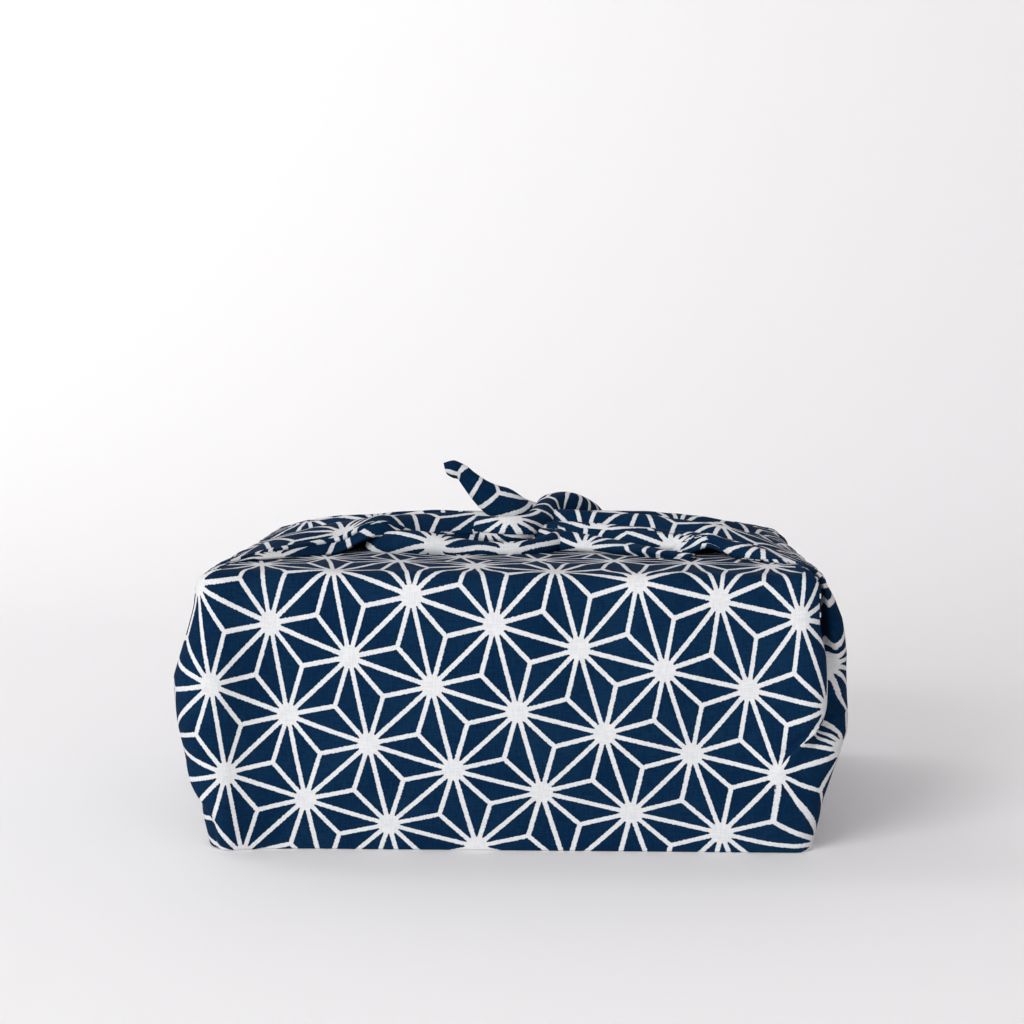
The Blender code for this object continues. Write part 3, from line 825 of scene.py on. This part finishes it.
left_tail = tail(LEFT_TAIL, -1, WIDTH / 2 + HEIGHT + 0.030, -0.012, math.radians(200))
right_tail = tail(RIGHT_TAIL, 1, WIDTH / 2 + HEIGHT + 0.028, 0.010, math.radians(160))
patches += [left_tail, right_tail]


# The whole cloth as one mesh. Its patches meet point to point at the folds, its print places are
# its UV map in metres of flat cloth, and it gets the thickness of the cotton.


def cloth_mesh(name, patches):
    verts, faces, places = [], [], []
    for points, print_place in patches:
        rows, columns = points.shape[:2]
        first = len(verts)
        verts += points.reshape(-1, 3).tolist()
        channels = print_place.reshape(rows * columns, -1)
        after, before = channels[:, :2].tolist(), channels[:, -2:].tolist()
        for r in range(rows - 1):
            for c in range(columns - 1):
                corner = r * columns + c
                quad = (corner, corner + 1, corner + columns + 1, corner + columns)
                faces.append(tuple(first + n for n in quad))
                places.append([after[quad[0]], before[quad[1]], before[quad[2]], after[quad[3]]])
    obj = new_object(name, verts, faces)
    layer = obj.data.uv_layers.new(name="flat_cloth")
    layer.data.foreach_set("uv", np.array(places, dtype=np.float32).ravel())
    shape = bmesh.new()
    shape.from_mesh(obj.data)
    bmesh.ops.remove_doubles(shape, verts=shape.verts, dist=2e-6)
    bmesh.ops.dissolve_degenerate(shape, edges=shape.edges, dist=1e-6)
    shape.to_mesh(obj.data)
    shape.free()
    obj.data.shade_smooth()
    return obj


cloth = cloth_mesh("furoshiki", patches)
corners = np.array([list(vertex.co) for vertex in cloth.data.vertices])
made_low, made_high = corners.min(axis=0), corners.max(axis=0)
shift = (Vector(cad_low) + Vector(cad_high)) / 2 - Vector((made_low + made_high) / 2)
shift.z = 0.0
for vertex in cloth.data.vertices:
    vertex.co += shift
thickness = cloth.modifiers.new("cotton_thickness", "SOLIDIFY")
thickness.thickness = CLOTH_THICK
thickness.offset = -1.0


class Socket:
    """A value in a material's nodes, so that its maths reads as Python."""

    def __init__(self, tree, value):
        self.tree, self.value = tree, value

    def node(self, kind, settings=None, **values):
        """A node of any type, with its settings first and then its sockets' values or links."""
        made = self.tree.nodes.new(kind)
        for name, value in (settings or {}).items():
            setattr(made, name, value)
        for name, value in values.items():
            numbered = name[0] == "i" and name[1:].isdigit()
            place = made.inputs[int(name[1:]) if numbered else name.replace("_", " ")]
            if isinstance(value, Socket):
                value = value.value
            if isinstance(value, bpy.types.NodeSocket):
                self.tree.links.new(value, place)
            else:
                place.default_value = value
        return made

    def maths(self, operation, *others):
        values = {f"i{number}": other for number, other in enumerate((self,) + others)}
        made = self.node("ShaderNodeMath", {"operation": operation}, **values)
        return Socket(self.tree, made.outputs[0])

    def __add__(self, other):
        return self.maths("ADD", other)

    __radd__ = __add__

    def __mul__(self, other):
        return self.maths("MULTIPLY", other)

    __rmul__ = __mul__

    def __sub__(self, other):
        return self.maths("SUBTRACT", other)

    def __rsub__(self, other):
        return Socket(self.tree, other).maths("SUBTRACT", self)

    def least(self, other):
        return self.maths("MINIMUM", other)

    def most(self, other):
        return self.maths("MAXIMUM", other)

    def step_up(self, low, high):
        """0 below low, 1 above high, and a smooth ease between."""
        settings = {"interpolation_type": "SMOOTHSTEP"}
        made = self.node("ShaderNodeMapRange", settings, Value=self, From_Min=low, From_Max=high)
        return Socket(self.tree, made.outputs[0])


# The printed cotton. A plain weave dyed navy with the hemp-leaf pattern left white: stars on a
# triangular lattice, its edges, and a line from the middle of each triangle to its three stars.

LINE_WIDTH = 0.00138
STAR_RADIUS = 0.00335
NAVY = (0.0010, 0.0125, 0.0390, 1.0)
NAVY_FADED = (0.0034, 0.0210, 0.0540, 1.0)
WHITE = (0.605, 0.603, 0.615, 1.0)
WHITE_THREAD = (0.530, 0.532, 0.553, 1.0)
# The size of a thread, and how far its thick and thin places go on.
THREAD = 0.00042
SLUB = 0.0040

cotton = bpy.data.materials.new("printed_cotton")
cotton.use_nodes = True
tree = cotton.node_tree
surface = tree.nodes["Principled BSDF"]
start = Socket(tree, None)
uv = start.node("ShaderNodeUVMap", {"uv_map": "flat_cloth"}).outputs[0]
split = start.node("ShaderNodeSeparateXYZ", Vector=uv)
u, v = Socket(tree, split.outputs[0]), Socket(tree, split.outputs[1])


def cloth_noise(place, scale, detail):
    """Noise over the flat cloth."""
    flat = {"noise_dimensions": "2D"}
    made = start.node("ShaderNodeTexNoise", flat, Vector=place, Scale=scale, Detail=detail)
    return Socket(tree, made.outputs[0])


def yarns(u_size, v_size):
    """The threads of one direction, uneven over these sizes along the cloth's two ways."""
    stretched = start.node("ShaderNodeMapping", None, Vector=uv, Scale=(1 / u_size, 1 / v_size, 1.0))
    return cloth_noise(stretched.outputs[0], 1.0, 2.0)


# Three shares say where a point lies between the three stars round it. The smallest gives the
# distance from an edge between two stars, and the next less that one the distance from a leaf's line.
turn_x, turn_y = math.cos(LATTICE_TURN) / STAR_PITCH, math.sin(LATTICE_TURN) / STAR_PITCH
moved_u, moved_v = u - LATTICE_STAR[0], v - LATTICE_STAR[1]
lattice_x = moved_u * turn_x + moved_v * turn_y
lattice_y = moved_v * turn_x - moved_u * turn_y
first = (lattice_x - lattice_y * (1 / math.sqrt(3))).maths("FRACT")
second = (lattice_y * (2 / math.sqrt(3))).maths("FRACT")
upper = (first + second).maths("GREATER_THAN", 1.0)
first = first + upper * (1 - 2 * first)
second = second + upper * (1 - 2 * second)
third = 1 - first - second
least = first.least(second).least(third)
most = first.most(second).most(third)
middle = 1 - least - most
ragged = (cloth_noise(uv, 1500.0, 1.0) - 0.5) * 0.00042
edge_line = least * (STAR_PITCH * math.sqrt(3) / 2)
leaf_line = (middle - least) * (STAR_PITCH / 2)
star = (middle * middle + least * least + middle * least).maths("SQRT") * STAR_PITCH
nearest = edge_line.least(leaf_line) - LINE_WIDTH / 2
nearest = nearest.maths("SMOOTH_MIN", star - STAR_RADIUS, 0.0006)
printed = 1 - (nearest + ragged).step_up(-0.00010, 0.00010)

# The weave shows as fine threads both ways, uneven in the yarn, and the dye varies a little.
threads = (yarns(SLUB, THREAD) + yarns(THREAD, SLUB)) * 0.5
dye = cloth_noise(uv, 45.0, 3.0)
worn = (threads * 0.7 + dye * 0.3).step_up(0.38, 0.66)
navy = start.node("ShaderNodeMix", {"data_type": "RGBA"}, Factor=worn)
navy.inputs[6].default_value = NAVY
navy.inputs[7].default_value = NAVY_FADED
white = start.node("ShaderNodeMix", {"data_type": "RGBA"}, Factor=threads.step_up(0.35, 0.62))
white.inputs[6].default_value = WHITE_THREAD
white.inputs[7].default_value = WHITE
colour = start.node("ShaderNodeMix", {"data_type": "RGBA"}, Factor=printed)
tree.links.new(navy.outputs[2], colour.inputs[6])
tree.links.new(white.outputs[2], colour.inputs[7])
tree.links.new(colour.outputs[2], surface.inputs["Base Color"])
rough = threads * 0.16 + 0.74
tree.links.new(rough.value, surface.inputs["Roughness"])
surface.inputs["Specular IOR Level"].default_value = 0.03
surface.inputs["Sheen Weight"].default_value = 0.006
surface.inputs["Sheen Roughness"].default_value = 0.50
relief = threads * 0.00012
bump = start.node("ShaderNodeBump", None, Height=relief, Strength=0.55, Distance=1.0)
tree.links.new(bump.outputs[0], surface.inputs["Normal"])
cloth.data.materials.append(cotton)
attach(cloth, "root")
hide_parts("furoshiki_cloth")


# The hem's stitches. The cut edge is turned in twice and sewn 4.5 mm from the edge with navy
# thread. They show on the lid, along the slanting edges of the front panel's end.

HEM_INSET = 0.0045
# Where the stitches start, from the middle of the depth, and how far they lie above the cloth.
HEM_FROM = 0.012
STITCH_LIFT = 0.0001
SEWING_NAVY = (0.0040, 0.0190, 0.0500, 1.0)
SEWING_NAVY_LIGHT = (0.0220, 0.0520, 0.1050, 1.0)


def hem_guides(rows, inset):
    """Two lines along a flap's side edges, a hem's width in from them."""
    guides = ([], [])
    for row in rows:
        for guide, points in zip(guides, (row, row[::-1])):
            length = distance_along(points)
            guide.append([np.interp(inset, length, points[:, axis]) for axis in range(3)])
    return [np.array(guide) for guide in guides]


flap_rows = patches[0][0][-FRONT_END["rows"] - TURNED_ROWS:-TURNED_ROWS]
flap_rows = flap_rows[flap_rows[:, 0, 1] > HEM_FROM]
guide_verts, guide_edges = [], []
for line in hem_guides(flap_rows, HEM_INSET):
    first = len(guide_verts)
    guide_verts += (line + np.array([shift.x, shift.y, STITCH_LIFT])).tolist()
    guide_edges += [(first + n, first + n + 1) for n in range(len(line) - 1)]
guide_mesh = bpy.data.meshes.new("hem_guide")
guide_mesh.from_pydata(guide_verts, guide_edges, [])
guide = bpy.data.objects.new("hem_guide", guide_mesh)
bpy.context.scene.collection.objects.link(guide)

thread = bpy.data.materials.new("navy_thread")
thread.use_nodes = True
thread_surface = thread.node_tree.nodes["Principled BSDF"]
strand = Socket(thread.node_tree, None)
object_place = strand.node("ShaderNodeTexCoord").outputs["Object"]
fibre = strand.node("ShaderNodeTexNoise", None, Vector=object_place, Scale=4000.0, Detail=2.0).outputs[0]
fibre = Socket(thread.node_tree, fibre)
thread_colour = strand.node("ShaderNodeMix", {"data_type": "RGBA"}, Factor=fibre.step_up(0.35, 0.65))
thread_colour.inputs[6].default_value = SEWING_NAVY
thread_colour.inputs[7].default_value = SEWING_NAVY_LIGHT
thread.node_tree.links.new(thread_colour.outputs[2], thread_surface.inputs["Base Color"])
thread.node_tree.links.new((fibre * 0.2 + 0.5).value, thread_surface.inputs["Roughness"])
thread_bump = strand.node("ShaderNodeBump", None, Height=fibre * 0.00005, Strength=0.6, Distance=1.0)
thread.node_tree.links.new(thread_bump.outputs[0], thread_surface.inputs["Normal"])

stitching = bpy.data.node_groups.new("stitches_along_a_line", "GeometryNodeTree")
stitching.interface.new_socket("Geometry", in_out="INPUT", socket_type="NodeSocketGeometry")
for name, kind in (("Spacing", "Float"), ("Stitch Length", "Float"), ("Thread Width", "Float"),
                   ("Seed", "Int"), ("Thread", "Material")):
    stitching.interface.new_socket(name, in_out="INPUT", socket_type=f"NodeSocket{kind}")
stitching.interface.new_socket("Geometry", in_out="OUTPUT", socket_type="NodeSocketGeometry")


def geometry_node(kind, settings=None, **links):
    """A node of the stitches' tree, with its settings and what is plugged into its sockets."""
    made = stitching.nodes.new(kind)
    for name, value in (settings or {}).items():
        setattr(made, name, value)
    for name, value in links.items():
        place = made.inputs[name.replace("_", " ")]
        if isinstance(value, bpy.types.NodeSocket):
            stitching.links.new(value, place)
        else:
            place.default_value = value
    return made


given = stitching.nodes.new("NodeGroupInput").outputs
line = geometry_node("GeometryNodeMeshToCurve", Mesh=given["Geometry"]).outputs[0]
line = geometry_node("GeometryNodeResampleCurve", {"mode": "LENGTH"}, Curve=line,
                     Length=given["Spacing"]).outputs[0]
uneven = geometry_node("FunctionNodeRandomValue", {"data_type": "FLOAT"}, Seed=given["Seed"])
uneven.inputs[2].default_value = 0.86
uneven.inputs[3].default_value = 1.08
length = geometry_node("ShaderNodeMath", {"operation": "MULTIPLY"})
stitching.links.new(given["Stitch Length"], length.inputs[0])
stitching.links.new(uneven.outputs[1], length.inputs[1])
size = geometry_node("ShaderNodeCombineXYZ", None, X=length.outputs[0], Y=given["Thread Width"],
                     Z=given["Thread Width"])
tangent = geometry_node("GeometryNodeInputTangent").outputs[0]
facing = geometry_node("FunctionNodeAlignRotationToVector", {"axis": "X"}, Vector=tangent)
bead = geometry_node("GeometryNodeMeshUVSphere", None, Segments=8, Rings=5, Radius=0.5)
placed = geometry_node("GeometryNodeInstanceOnPoints", None, Points=line, Instance=bead.outputs[0],
                       Rotation=facing.outputs[0], Scale=size.outputs[0])
real = geometry_node("GeometryNodeRealizeInstances", None, Geometry=placed.outputs[0])
coloured = geometry_node("GeometryNodeSetMaterial", None, Geometry=real.outputs[0],
                         Material=given["Thread"])
stitching.links.new(coloured.outputs[0], stitching.nodes.new("NodeGroupOutput").inputs[0])

stitch_maker = guide.modifiers.new("hem_stitches", "NODES")
stitch_maker.node_group = stitching
values = {"Spacing": 0.0034, "Stitch Length": 0.0027, "Thread Width": 0.00042, "Seed": 7, "Thread": thread}
for socket in stitching.interface.items_tree:
    if socket.in_out == "INPUT" and socket.name in values:
        stitch_maker[socket.identifier] = values[socket.name]
evaluated = guide.evaluated_get(bpy.context.evaluated_depsgraph_get())
stitches = bpy.data.objects.new("hem_stitches", bpy.data.meshes.new_from_object(evaluated))
stitches.data.shade_smooth()
bpy.context.scene.collection.objects.link(stitches)
bpy.data.objects.remove(guide)
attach(stitches, "root")
